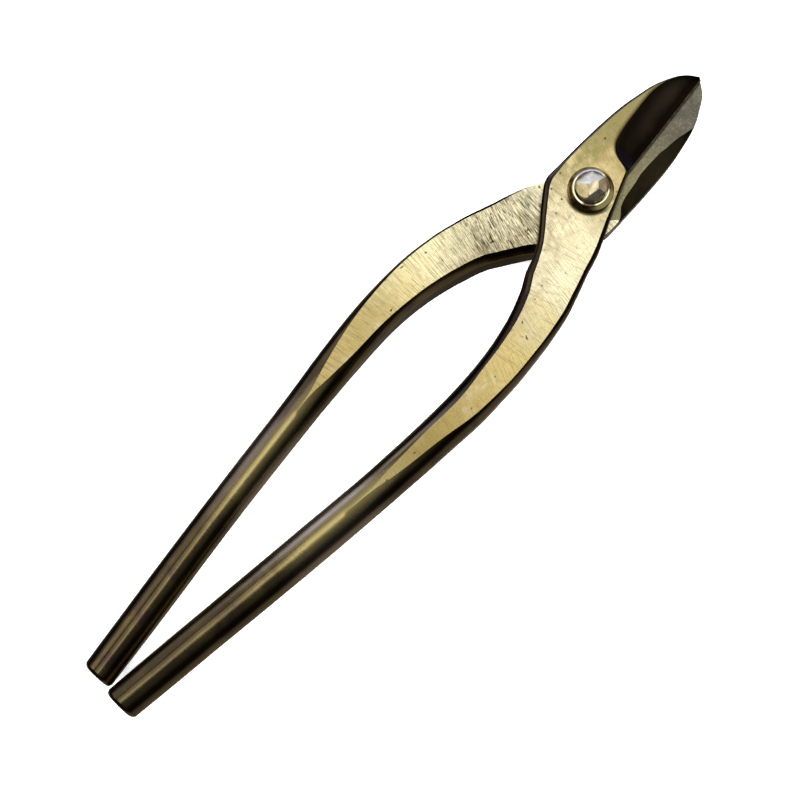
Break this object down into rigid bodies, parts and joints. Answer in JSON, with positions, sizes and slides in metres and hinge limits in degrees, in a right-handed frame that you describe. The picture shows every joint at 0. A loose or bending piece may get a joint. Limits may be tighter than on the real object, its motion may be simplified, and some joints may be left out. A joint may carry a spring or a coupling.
{
  "type": "tin snips",
  "caption": "Hand-forged sheet-metal snips: crossing levers on a riveted pivot, short scooped blades with hard steel let in, bowed handles that run out into round grip rods.",
  "frame": {"origin": "on the pivot axis, in the small flat on the back of the rivet that the tool rests on", "axes": "+X along the tool's middle line to the blade tips, +Y to the side of the front blade, +Z along the pivot axis to the faceted rivet head"},
  "size_m": [0.2404, 0.0488, 0.0221],
  "materials": {
    "lever_bronze": "ground steel under a bronze-tinted lacquer, dark forged sides",
    "blade_steel": "fine ground hard steel",
    "washer_bronze": "turned, bronze-tinted",
    "rivet_bronze": "polished facets"
  },
  "bodies": {
    "rear_half": {"rear_lever": "lever_bronze", "rear_blade_steel": "blade_steel", "pivot_rivet": "rivet_bronze", "front_washer": "washer_bronze", "rear_washer": "washer_bronze"},
    "front_half": {"front_lever": "lever_bronze", "front_blade_steel": "blade_steel"}
  },
  "joints": [
    {"name": "pivot", "type": "hinge", "parent": "rear_half", "child": "front_half", "pos_m": [0, 0, 0.0104], "axis": [0, 0, 1], "range_deg": [0, 40]}
  ]
}
